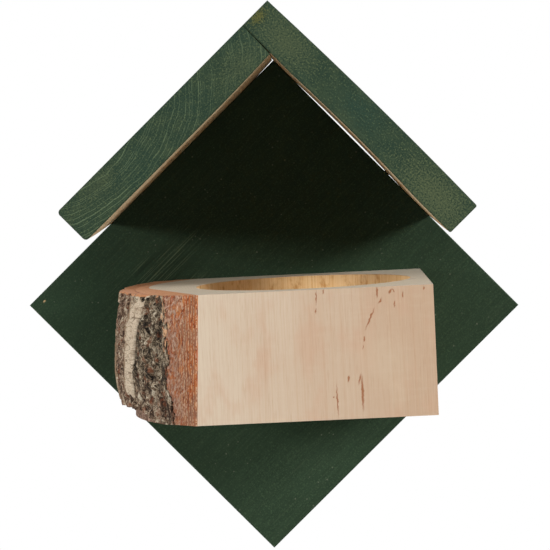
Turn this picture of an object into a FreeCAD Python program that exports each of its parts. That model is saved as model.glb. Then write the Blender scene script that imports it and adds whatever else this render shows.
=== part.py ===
import FreeCAD, Part

import os
import re

import Sketcher

# Wall bird feeder, in millimetres. A square board stands on its corner, two boards on its upper edges make
# a gable roof, and a slice of log with a round recess holds the seed. X points right as seen from the front,
# +Y points to the wall and +Z up. The origin is the centre of the panel's back face.

SIZES = {
    # Back panel: a square board, with a blind hole in its back to hang it on a nail.
    "panel_side": 200,
    "panel_thickness": 20,
    "edge_ease": 0.6,
    "hanging_hole_diameter": 8,
    "hanging_hole_depth": 12,
    "hanging_hole_drop": 46,
    # Roof: both boards reach from the panel's back to the same front plane. Their eaves are sawn a little out
    # of square, so the boards are narrower at the wall.
    "roof_reach": 150,
    "eave_skew": 5.5,
    "left_roof_width": 138,
    "left_roof_thickness": 21.5,
    "left_eave_round": 2.2,
    "left_rise": 0.8,
    "left_rise_length": 40,
    "ridge_gap": 0.6,
    "right_seat": 132,
    "right_roof_thickness": 20,
    "right_ridge_thickness": 18.3,
    "right_eave_round": 1,
    "right_crown": 1.1,
    "right_hollow": 1,
    "right_hollow_start": 14,
    "right_hollow_length": 94,
    # Trough: the log slice hangs a little out of level. Its left side is the log's own side, round at the
    # back and flat from its tip to the front, and spreads towards the foot.
    "trough_tilt": 2.6,
    "trough_top": 17.3,
    "trough_height": 69,
    "trough_depth": 149,
    "trough_right": 85.3,
    "trough_left": 38.2,
    "trough_flare": 3.6,
    "wood_back_left": 43.5,
    "wood_belly_left": 62.5,
    "wood_belly_distance": 28,
    "wood_tip_left": 67,
    "wood_tip_distance": 74,
    "recess_diameter": 118,
    "recess_depth": 40,
    "recess_side": 17.4,
    "recess_back_wall": 18.5,
    # Bark: the inner layer is cut to a slanting facet at the front, the outer one is cork in upright plates.
    "inner_bark_edge": 1.5,
    "inner_bark_back": 12,
    "bark_nose_left": 75,
    "bark_nose_distance": 64,
    "facet_run": 17,
    "facet_fall_top": 8,
    "facet_fall_foot": 17,
    "outer_bark_front": 3.5,
    "outer_bark_nose": 8.5,
    "outer_bark_back": 13,
    "plate_height": 3.5,
    "plate_count": 5,
    "fissure_width": 7,
    "cork_break": 6.5,
    "cork_break_start": 12,
    "cork_break_length": 19,
    # Countersunk wood screws.
    "screw_length": 50,
    "shank_diameter": 5,
    "head_diameter": 9.6,
    "head_height": 3.2,
    "head_rim": 0.6,
    "point_length": 6,
    "head_sink": 0.5,
    "screw_clearance": 0.1,
    "roof_screw_offset": 92,
    "ridge_screw_spacing": 90,
    "trough_screw_spacing": 72,
}
ALIAS = re.compile(r"\b(" + "|".join(SIZES) + r")\b")
TRIAL_CELL = "D1"
HALF_TURN = 180
RIGHT_ANGLE = 90
ROOF_SLOPE = 45
TOLERANCE = 1e-4

doc = FreeCAD.newDocument("bird_feeder")
sheet = doc.addObject("Spreadsheet::Sheet", "sizes")
for row, (alias, value) in enumerate(SIZES.items(), start=1):
    sheet.set(f"A{row}", alias)
    sheet.set(f"B{row}", str(value))
    sheet.setAlias(f"B{row}", alias)
doc.recompute()


def number(formula):
    """Works out a formula of the sheet's sizes."""
    sheet.set(TRIAL_CELL, "=" + formula)
    sheet.recompute()
    return float(sheet.get(TRIAL_CELL))


def bind(item, name, formula):
    """Ties a property to a formula of the sheet's sizes."""
    item.setExpression(name, ALIAS.sub(r"sizes.\1", formula))


def new_body(name, placement):
    body = doc.addObject("PartDesign::Body", name)
    body.Placement = placement
    return body


def new_sketch(body, name, plane, height="0"):
    """Adds a sketch on one of the body's own planes, moved along its normal."""
    sketch = body.newObject("Sketcher::SketchObject", name)
    support = [feature for feature in body.Origin.OriginFeatures if feature.Role == plane][0]
    sketch.AttachmentSupport = [(support, "")]
    sketch.MapMode = "FlatFace"
    bind(sketch, "AttachmentOffset.Base.z", height)
    return sketch


def hold_point(sketch, geometry, vertex, across, along):
    """Fixes a point of the sketch at two formulas."""
    for kind, formula in (("DistanceX", across), ("DistanceY", along)):
        index = sketch.addConstraint(Sketcher.Constraint(kind, geometry, vertex, number(formula)))
        bind(sketch, f"Constraints[{index}]", formula)


def draw_outline(sketch, corners):
    """Draws a closed outline. A corner is two formulas, across and along. Where it has four, an arc leads
    to the next corner, through the point that the last two give."""
    places = [FreeCAD.Vector(number(corner[0]), number(corner[1]), 0) for corner in corners]
    firsts = []
    for index, corner in enumerate(corners):
        start = places[index]
        end = places[(index + 1) % len(places)]
        if len(corner) == 4:
            through = FreeCAD.Vector(number(corner[2]), number(corner[3]), 0)
            sketch.addGeometry(Part.Arc(start, through, end), False)
        else:
            sketch.addGeometry(Part.LineSegment(start, end), False)
        starts_first = (sketch.getPoint(index, 1) - start).Length < TOLERANCE
        firsts.append(1 if starts_first else 2)
    for index, corner in enumerate(corners):
        following = (index + 1) % len(corners)
        last = 3 - firsts[index]
        sketch.addConstraint(Sketcher.Constraint("Coincident", index, last, following, firsts[following]))
        hold_point(sketch, index, firsts[index], corner[0], corner[1])
    for index, corner in enumerate(corners):
        if len(corner) == 4:
            through = FreeCAD.Vector(number(corner[2]), number(corner[3]), 0)
            point = sketch.addGeometry(Part.Point(through), True)
            hold_point(sketch, point, 1, corner[2], corner[3])
            sketch.addConstraint(Sketcher.Constraint("PointOnObject", point, 1, index))


def draw_circle(sketch, across, along, diameter):
    centre = FreeCAD.Vector(number(across), number(along), 0)
    radius = number(f"({diameter}) / 2")
    circle = sketch.addGeometry(Part.Circle(centre, FreeCAD.Vector(0, 0, 1), radius), False)
    hold_point(sketch, circle, 3, across, along)
    index = sketch.addConstraint(Sketcher.Constraint("Radius", circle, radius))
    bind(sketch, f"Constraints[{index}]", f"({diameter}) / 2")


def pad(body, sketch, length):
    feature = body.newObject("PartDesign::Pad", sketch.Name + "_pad")
    feature.Profile = sketch
    bind(feature, "Length", length)
    doc.recompute()
    return feature


def pocket(body, sketch, depth, reverse=False):
    """Cuts a sketch out of the body, and makes sure that it took something away."""
    before = body.Shape.Volume
    feature = body.newObject("PartDesign::Pocket", sketch.Name + "_pocket")
    feature.Profile = sketch
    feature.Reversed = reverse
    bind(feature, "Length", depth)
    doc.recompute()
    if not body.Shape.Volume < before - TOLERANCE:
        raise ValueError(f"{feature.Name} cuts nothing")
    return feature


def ruled_loft(body, sections):
    feature = body.newObject("PartDesign::AdditiveLoft", body.Name + "_loft")
    feature.Profile = sections[0]
    feature.Sections = sections[1:]
    feature.Ruled = True
    doc.recompute()
    return feature


def ease_ends(body, feature, depths):
    """Takes the sharpness off the edges of the faces square to Y that lie at the given depths."""
    shape = feature.Shape
    names = []
    for index, edge in enumerate(shape.Edges, start=1):
        box = edge.BoundBox
        if any(abs(box.YMin - depth) < TOLERANCE and abs(box.YMax - depth) < TOLERANCE for depth in depths):
            names.append(f"Edge{index}")
    chamfer = body.newObject("PartDesign::Chamfer", body.Name + "_eased")
    chamfer.Base = (feature, names)
    bind(chamfer, "Size", "edge_ease")
    doc.recompute()


# Places of the pieces: the panel's top corner carries the roof, and the trough is turned about the panel's
# centre.
HALF_DIAGONAL = "panel_side / sqrt(2)"
UP = FreeCAD.Vector(0, 0, 1)
TO_WALL = FreeCAD.Vector(0, 1, 0)
upper_corner = FreeCAD.Vector(0, 0, number(HALF_DIAGONAL))
panel_place = FreeCAD.Placement()
left_roof_place = FreeCAD.Placement(upper_corner, FreeCAD.Rotation(-TO_WALL, ROOF_SLOPE))
right_roof_place = FreeCAD.Placement(upper_corner, FreeCAD.Rotation(TO_WALL, ROOF_SLOPE))
trough_place = FreeCAD.Placement(FreeCAD.Vector(), FreeCAD.Rotation(-TO_WALL, number("trough_tilt")))

# Back panel. Sketches on the XZ plane face the front, so a pad grows forwards from the wall.
panel_body = new_body("panel_body", panel_place)
panel_sketch = new_sketch(panel_body, "panel_outline", "XZ_Plane")
draw_outline(
    panel_sketch,
    [
        (HALF_DIAGONAL, "0"),
        ("0", HALF_DIAGONAL),
        (f"-{HALF_DIAGONAL}", "0"),
        ("0", f"-{HALF_DIAGONAL}"),
    ],
)
panel_pad = pad(panel_body, panel_sketch, "panel_thickness")
ease_ends(panel_body, panel_pad, [0, number("-panel_thickness")])
hole_sketch = new_sketch(panel_body, "hanging_hole", "XZ_Plane")
draw_circle(hole_sketch, "0", f"{HALF_DIAGONAL} - hanging_hole_drop", "hanging_hole_diameter")
pocket(panel_body, hole_sketch, "hanging_hole_depth", reverse=True)

# Roof boards, each drawn from the panel's top corner along the edge that it sits on, with its underside on
# that edge. The end grain faces the front.
ROOF_DEPTH = "panel_thickness + roof_reach"
left_body = new_body("left_roof_body", left_roof_place)
bind(left_body, "Placement.Base.z", HALF_DIAGONAL)
left_sketch = new_sketch(left_body, "left_roof_outline", "XZ_Plane")
ROUND_SHARE = "(1 - sqrt(0.5))"
draw_outline(
    left_sketch,
    [
        ("left_eave_round - left_roof_width", "0"),
        ("-left_rise_length", "0", "-left_rise_length / 2", "left_rise / 4"),
        ("-ridge_gap", "left_rise"),
        ("0", "left_roof_thickness"),
        (
            "left_eave_round - left_roof_width",
            "left_roof_thickness",
            f"left_eave_round * {ROUND_SHARE} - left_roof_width",
            f"left_roof_thickness - left_eave_round * {ROUND_SHARE}",
        ),
        ("-left_roof_width", "left_roof_thickness - left_eave_round"),
        (
            "-left_roof_width",
            "left_eave_round",
            f"left_eave_round * {ROUND_SHARE} - left_roof_width",
            f"left_eave_round * {ROUND_SHARE}",
        ),
    ],
)
left_pad = pad(left_body, left_sketch, ROOF_DEPTH)
ease_ends(left_body, left_pad, [0, -number(ROOF_DEPTH)])
left_cut = new_sketch(left_body, "left_eave_cut", "XY_Plane", "-left_roof_thickness")
draw_outline(
    left_cut,
    [
        ("-left_roof_width - edge_ease", f"-({ROOF_DEPTH})"),
        ("eave_skew - left_roof_width", "0"),
        ("eave_skew - left_roof_width", "panel_thickness"),
        ("-left_roof_width - edge_ease", "panel_thickness"),
    ],
)
pocket(left_body, left_cut, "left_roof_thickness * 3", reverse=True)

# The right board covers the left board's end, so its ridge end is flush with the left board's outer face.
# It has cupped: the outer face is crowned and the underside hollow between two bearing strips.
right_body = new_body("right_roof_body", right_roof_place)
bind(right_body, "Placement.Base.z", HALF_DIAGONAL)
right_sketch = new_sketch(right_body, "right_roof_outline", "XZ_Plane")
HOLLOW_END = "right_hollow_start + right_hollow_length"
draw_outline(
    right_sketch,
    [
        ("-left_roof_thickness", "0"),
        ("right_hollow_start", "0", "right_hollow_start + right_hollow_length / 2", "right_hollow"),
        (HOLLOW_END, "0"),
        (
            "right_seat - right_eave_round",
            "0",
            f"right_seat - right_eave_round * {ROUND_SHARE}",
            f"right_eave_round * {ROUND_SHARE}",
        ),
        ("right_seat", "right_eave_round"),
        (
            "right_seat",
            "right_roof_thickness - right_eave_round",
            f"right_seat - right_eave_round * {ROUND_SHARE}",
            f"right_roof_thickness - right_eave_round * {ROUND_SHARE}",
        ),
        (
            "right_seat - right_eave_round",
            "right_roof_thickness",
            "(right_seat - left_roof_thickness) / 2",
            "(right_roof_thickness + right_ridge_thickness) / 2 + right_crown",
        ),
        ("-left_roof_thickness", "right_ridge_thickness"),
    ],
)
right_pad = pad(right_body, right_sketch, ROOF_DEPTH)
ease_ends(right_body, right_pad, [0, -number(ROOF_DEPTH)])
right_cut = new_sketch(right_body, "right_eave_cut", "XY_Plane", "-right_roof_thickness")
draw_outline(
    right_cut,
    [
        ("right_seat + edge_ease", f"-({ROOF_DEPTH})"),
        ("right_seat + edge_ease", "panel_thickness"),
        ("right_seat - eave_skew", "panel_thickness"),
        ("right_seat - eave_skew", "0"),
    ],
)
pocket(right_body, right_cut, "right_roof_thickness * 3", reverse=True)

# Trough block. The outline is drawn at the foot and at the top, because the log's own side leans outwards
# towards the foot. All other sides are sawn square, and a round recess is bored into the top.
FRONT = "-(panel_thickness + trough_depth)"
BACK = "-panel_thickness"
BELLY = "-(panel_thickness + wood_belly_distance)"
TIP = "-(panel_thickness + wood_tip_distance)"
NOSE = "-(panel_thickness + bark_nose_distance)"
FOOT_LEVEL = "trough_top - trough_height"
LEVELS = {
    "foot": (FOOT_LEVEL, "trough_flare", "facet_fall_foot"),
    "top": ("trough_top", "0", "facet_fall_top"),
}
block_body = new_body("trough_block_body", trough_place)
bind(block_body, "Placement.Rotation.Angle", "trough_tilt")
block_sections = []
for level, (height, lean, _) in LEVELS.items():
    block_sketch = new_sketch(block_body, f"block_{level}", "XY_Plane", height)
    draw_outline(
        block_sketch,
        [
            (f"-(trough_left + {lean})", FRONT),
            ("trough_right", FRONT),
            ("trough_right", BACK),
            (f"-(wood_back_left + {lean})", BACK, f"-(wood_belly_left + {lean})", BELLY),
            (f"-(wood_tip_left + {lean})", TIP),
        ],
    )
    block_sections.append(block_sketch)
ruled_loft(block_body, block_sections)
recess_sketch = new_sketch(block_body, "recess", "XY_Plane", "trough_top")
RECESS_CENTRE = "-(panel_thickness + recess_back_wall + recess_diameter / 2)"
draw_circle(recess_sketch, "recess_side", RECESS_CENTRE, "recess_diameter")
pocket(block_body, recess_sketch, "recess_depth")

# Inner bark. It lies on the log's own side, from the panel to the front, where it thins out in a facet.
inner_bark = new_body("inner_bark_body", trough_place)
inner_bark.Label = "inner_bark"
bind(inner_bark, "Placement.Rotation.Angle", "trough_tilt")
bark_sections = []
for level, (height, lean, fall) in LEVELS.items():
    bark_sketch = new_sketch(inner_bark, f"inner_bark_{level}", "XY_Plane", height)
    draw_outline(
        bark_sketch,
        [
            (f"-(trough_left + {lean} + inner_bark_edge)", FRONT),
            (f"-(trough_left + {lean})", FRONT),
            (f"-(wood_tip_left + {lean})", TIP, f"-(wood_belly_left + {lean})", BELLY),
            (f"-(wood_back_left + {lean})", BACK),
            (
                f"-(wood_back_left + {lean} + inner_bark_back)",
                BACK,
                f"-(bark_nose_left + {lean})",
                NOSE,
            ),
            (f"-(trough_left + {lean} + inner_bark_edge + facet_run)", f"{FRONT} + {fall}"),
        ],
    )
    bark_sections.append(bark_sketch)
ruled_loft(inner_bark, bark_sections)


def outer_bark_wire(height, lean, fall):
    """Gives the outer bark's outline at one level: flat plates side by side along an arc, with fissures
    between them, on the inner bark."""
    level = number(height)

    def place(across, along):
        return FreeCAD.Vector(number(across), number(along), level)

    front = place(f"-(trough_left + {lean} + inner_bark_edge + facet_run)", f"{FRONT} + {fall}")
    nose = place(f"-(bark_nose_left + {lean})", NOSE)
    back = place(f"-(wood_back_left + {lean} + inner_bark_back)", BACK)
    floor_front = front - FreeCAD.Vector(number("outer_bark_front"), 0, 0)
    floor_nose = nose - FreeCAD.Vector(number("outer_bark_nose"), 0, 0)
    floor_back = back - FreeCAD.Vector(number("outer_bark_back"), 0, 0)
    fissure_floor = Part.Arc(floor_front, floor_nose, floor_back).toShape()
    centre = fissure_floor.Curve.Center
    first, last = fissure_floor.ParameterRange
    plate = (last - first) / number("plate_count")
    slope = number("fissure_width / 2") / fissure_floor.Curve.Radius

    def on_plate(angle, height):
        point = fissure_floor.valueAt(angle)
        return point + (point - centre).normalize() * height

    outline = [front]
    for index in range(int(number("plate_count"))):
        start = first + index * plate
        outline.append(on_plate(start, 0))
        outline.append(on_plate(start + slope, number("plate_height")))
        outline.append(on_plate(start + plate - slope, number("plate_height")))
    outline += [floor_back, back]
    edges = Part.makePolygon(outline).Edges
    edges.append(Part.Arc(back, nose, front).toShape())
    return Part.Wire(edges)


# Outer bark: thick cork plates that run up the log, with fissures between them. The lower edge has broken
# off: a slope behind the facet, and from there an even strip to the panel.
cork_plates = doc.addObject("Part::Feature", "cork_plates")
cork_plates.Shape = Part.makeLoft([outer_bark_wire(*LEVELS[level]) for level in LEVELS], True, True)
cork_plates.Placement = trough_place
break_body = new_body("cork_break_body", trough_place)
bind(break_body, "Placement.Rotation.Angle", "trough_tilt")
break_sketch = new_sketch(break_body, "cork_break_outline", "YZ_Plane", "-panel_side")
BREAK_FRONT = f"{FRONT} + cork_break_start"
draw_outline(
    break_sketch,
    [
        (f"{BREAK_FRONT} - cork_break_length", f"{FOOT_LEVEL} - cork_break"),
        (f"{BACK} + cork_break", f"{FOOT_LEVEL} - cork_break"),
        (f"{BACK} + cork_break", f"{FOOT_LEVEL} + cork_break"),
        (f"{BREAK_FRONT} + cork_break_length", f"{FOOT_LEVEL} + cork_break"),
    ],
)
pad(break_body, break_sketch, "panel_side")
outer_bark = doc.addObject("Part::Cut", "outer_bark_broken")
outer_bark.Label = "outer_bark"
outer_bark.Base = cork_plates
outer_bark.Tool = break_body


def screw_solid(grow, collar):
    """Turns a countersunk screw, head up. The hole that it sits in is a little wider, with a collar above."""
    head = number("head_diameter") / 2 + grow
    shank = number("shank_diameter") / 2 + grow
    length = number("screw_length") + grow
    profile = [
        (0, collar),
        (head, collar),
        (head, -number("head_rim")),
        (shank, -number("head_height")),
        (shank, -number("screw_length - point_length")),
        (0, -length),
        (0, collar),
    ]
    wire = Part.makePolygon([FreeCAD.Vector(radius, 0, level) for radius, level in profile])
    return Part.Face(wire).revolve(FreeCAD.Vector(), UP, 2 * HALF_TURN)


def group(name, label, solid, places):
    """Sets copies of one solid at their places, as one group of separate solids."""
    feature = doc.addObject("Part::Feature", name)
    feature.Label = label
    copies = []
    for place in places:
        copy = solid.copy()
        copy.Placement = place
        copies.append(copy)
    feature.Shape = Part.makeCompound(copies)
    return feature


def on_board(board_place, across, along, height):
    """Places a screw on a roof board, its head towards the board's outer face."""
    return board_place * FreeCAD.Placement(FreeCAD.Vector(across, along, height), FreeCAD.Rotation())


# Screws. Each roof board has one into the middle of the panel's edge, two more pull the ridge together, and
# two hold the trough from behind, in the solid wood under its recess.
edge_middle = number("-panel_thickness / 2")
left_head = number("left_roof_thickness - head_sink")
right_head = number("right_roof_thickness - head_sink")
roof_screw_places = [
    on_board(left_roof_place, number("-roof_screw_offset"), edge_middle, left_head),
    on_board(right_roof_place, number("roof_screw_offset"), edge_middle, right_head),
]
ridge_screw_places = [
    on_board(
        right_roof_place,
        number("-left_roof_thickness / 2"),
        number(f"-({ROOF_DEPTH}) / 2") + side * number("ridge_screw_spacing / 2"),
        number("right_ridge_thickness - head_sink"),
    )
    for side in (-1, 1)
]
from_behind = FreeCAD.Rotation(FreeCAD.Vector(1, 0, 0), -RIGHT_ANGLE)
floor_middle = number(f"({FOOT_LEVEL} + trough_top - recess_depth) / 2")
trough_screw_places = [
    trough_place
    * FreeCAD.Placement(
        FreeCAD.Vector(
            number("recess_side") + side * number("trough_screw_spacing / 2"),
            -number("head_sink"),
            floor_middle,
        ),
        from_behind,
    )
    for side in (-1, 1)
]
screw = screw_solid(0, 0)
screw_hole = screw_solid(number("screw_clearance"), number("head_diameter"))
roof_screws = group("roof_screw_group", "roof_screws", screw, roof_screw_places)
ridge_screws = group("ridge_screw_group", "ridge_screws", screw, ridge_screw_places)
trough_screws = group("trough_screw_group", "trough_screws", screw, trough_screw_places)


def drill(body, label, places):
    """Cuts the screws' holes out of a piece and gives it its name."""
    holes = group(f"{label}_holes", f"{label}_holes", screw_hole, places)
    cut = doc.addObject("Part::Cut", f"{label}_drilled")
    cut.Label = label
    cut.Base = body
    cut.Tool = holes
    return cut


back_panel = drill(panel_body, "back_panel", roof_screw_places + trough_screw_places)
left_roof_board = drill(left_body, "left_roof_board", roof_screw_places[:1] + ridge_screw_places)
right_roof_board = drill(right_body, "right_roof_board", roof_screw_places[1:] + ridge_screw_places)
trough_block = drill(block_body, "trough_block", trough_screw_places)
doc.recompute()

pieces = [
    back_panel,
    left_roof_board,
    right_roof_board,
    trough_block,
    inner_bark,
    outer_bark,
    roof_screws,
    ridge_screws,
    trough_screws,
]
for item in doc.Objects:
    if "Invalid" in item.State or "Error" in item.State:
        raise ValueError(f"{item.Label} failed: {item.State}")
for piece in pieces:
    if piece.Shape.isNull() or not piece.Shape.isValid():
        raise ValueError(f"{piece.Label} has no valid shape")

os.makedirs("parts", exist_ok=True)
for piece in pieces:
    piece.Shape.exportStep(f"parts/{piece.Label}.step")
    box = piece.Shape.BoundBox
    print(
        f"{piece.Label}: {len(piece.Shape.Solids)} solids, {piece.Shape.Volume:.0f} mm3, "
        f"{box.XMin:.1f}..{box.XMax:.1f} {box.YMin:.1f}..{box.YMax:.1f} {box.ZMin:.1f}..{box.ZMax:.1f}"
    )
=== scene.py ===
import math

import bpy
import numpy as np
from mathutils import Matrix, Vector, noise


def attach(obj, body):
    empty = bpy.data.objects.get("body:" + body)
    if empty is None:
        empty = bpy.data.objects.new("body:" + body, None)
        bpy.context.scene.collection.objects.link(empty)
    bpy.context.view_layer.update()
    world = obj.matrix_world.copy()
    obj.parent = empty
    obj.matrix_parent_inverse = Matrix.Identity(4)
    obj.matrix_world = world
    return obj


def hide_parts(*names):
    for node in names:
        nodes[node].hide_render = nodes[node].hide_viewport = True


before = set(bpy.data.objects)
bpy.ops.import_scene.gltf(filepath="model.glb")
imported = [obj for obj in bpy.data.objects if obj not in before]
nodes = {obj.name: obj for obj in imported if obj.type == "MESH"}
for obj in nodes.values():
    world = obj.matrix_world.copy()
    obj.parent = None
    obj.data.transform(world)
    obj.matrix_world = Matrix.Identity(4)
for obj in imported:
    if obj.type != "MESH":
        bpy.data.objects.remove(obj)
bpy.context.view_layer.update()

# Back panel. A square spruce board that hangs on its corner, planed and brushed with dark green
# wood stain. The grain runs up to the right, and the face at the wall is left bare.


def linear(code):
    """Turns an sRGB hex colour into linear values."""
    shares = np.array([int(code[start : start + 2], 16) / 255 for start in (1, 3, 5)])
    values = np.where(shares <= 0.04045, shares / 12.92, ((shares + 0.055) / 1.055) ** 2.4)
    return [*values, 1]


def add(tree, kind, inputs=None, out=0, stops=(), **settings):
    """Adds a node with its settings, sets or links its inputs, and gives the output asked for. A
    colour is given as its hex code."""
    made = tree.nodes.new("ShaderNode" + kind)
    for name, value in settings.items():
        setattr(made, name, value)
    for name, value in (inputs or {}).items():
        if isinstance(value, bpy.types.NodeSocket):
            tree.links.new(value, made.inputs[name])
        else:
            made.inputs[name].default_value = linear(value) if isinstance(value, str) else value
    for place, _ in stops[2:]:
        made.color_ramp.elements.new(place)
    for element, (place, code) in zip(made.color_ramp.elements if stops else (), stops):
        element.position = place
        element.color = linear(code)
    return made.outputs[out] if made.outputs else made


def new_material(name):
    """A material with an empty node tree, and the tree."""
    material = bpy.data.materials.new(name)
    material.use_nodes = True
    material.node_tree.nodes.clear()
    return material, material.node_tree


def coats(tree, colour, layers):
    """Lays colours over each other. A layer has its pattern, the values at which it starts and is
    full, how much it covers at most, and its colour."""
    for pattern, start, full, most, shade in layers:
        inputs = {0: pattern, 1: start, 2: full, 4: most}
        share = add(tree, "MapRange", inputs, interpolation_type="SMOOTHSTEP")
        colour = add(tree, "Mix", {0: share, 6: colour, 7: shade}, out=2, data_type="RGBA")
    return colour


def cloudy_marks(tree, place, sizes):
    """Cloudy patterns for the marks in a wood or bark. Each mark has its size along x, y and z in
    millimetres, its detail and its roughness."""
    marks = {}
    for kind, (x, y, z, detail, roughness) in sizes.items():
        stretched = add(tree, "Mapping", {"Vector": place, "Scale": (1 / x, 1 / y, 1 / z)})
        inputs = {"Vector": stretched, "Scale": 1, "Detail": detail, "Roughness": roughness}
        marks[kind] = add(tree, "TexNoise", inputs)
    return marks


# A half size for a spot or a ring that runs right through the wood.
THROUGH = 1e6


def reach_from(tree, place, middle, half_sizes, turn=(0, 0, 0)):
    """How far the surface lies from a spot's middle, as a share of the spot's half sizes."""
    inputs = {"Vector": place, "Location": middle, "Rotation": turn, "Scale": half_sizes}
    spot = add(tree, "Mapping", inputs, vector_type="TEXTURE")
    return add(tree, "VectorMath", {0: spot}, out="Value", operation="LENGTH")


def pith_distance(tree, place, drift, wander, pith):
    """Distance from the pith in millimetres, which the drift moves by half the wander each way."""
    inputs = {0: drift.node.outputs["Color"], 1: (wander, wander, 0), 2: place}
    wandered = add(tree, "VectorMath", inputs, operation="MULTIPLY_ADD")
    middle = (pith[0] + wander / 2, pith[1] + wander / 2, 0)
    return reach_from(tree, wandered, middle, (1, 1, THROUGH))


def ring_lines(tree, turns, stops):
    """How much each ring shows, by stops through its width."""
    phase = add(tree, "Math", {0: turns}, operation="FRACT")
    return add(tree, "ValToRGB", {"Fac": phase}, stops=stops)


def facing(tree, way):
    """How squarely the surface faces a direction, from -1 to 1."""
    normal = add(tree, "NewGeometry", out="Normal")
    return add(tree, "VectorMath", {0: normal, 1: way}, out="Value", operation="DOT_PRODUCT")


# The patterns work in millimetres.
TO_MILLIMETRES = (1000, 1000, 1000)
SPRUCE_WANDER = 9
DUST_SPACING = 2.6
RING_STOPS = [(0, "#202020"), (0.5, "#000000"), (0.8, "#ffffff"), (0.92, "#b0b0b0"), (1, "#202020")]
# The rings change their clearness between these places along the board's front edge.
RING_CHANGE = (-70, -120)
# Marks in stained spruce: sizes across the grain, through the board and along the grain. Fibres,
# lines and pores are finer in the wood, and are drawn as coarse as they need to show.
STAIN_MARKS = {
    "drift": (32, 32, 170, 3, 0.5),
    "cloud": (40, 40, 70, 2, 0.5),
    "mottle": (7, 7, 40, 3, 0.6),
    "band": (17, 17, 30, 1, 0.5),
    "fibre": (0.7, 0.7, 12, 3, 0.6),
    "line": (0.75, 0.75, 40, 1, 0.5),
    "grit": (0.9, 0.9, 0.9, 2, 0.6),
    "pore": (0.9, 0.9, 5, 2, 0.6),
}


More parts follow.
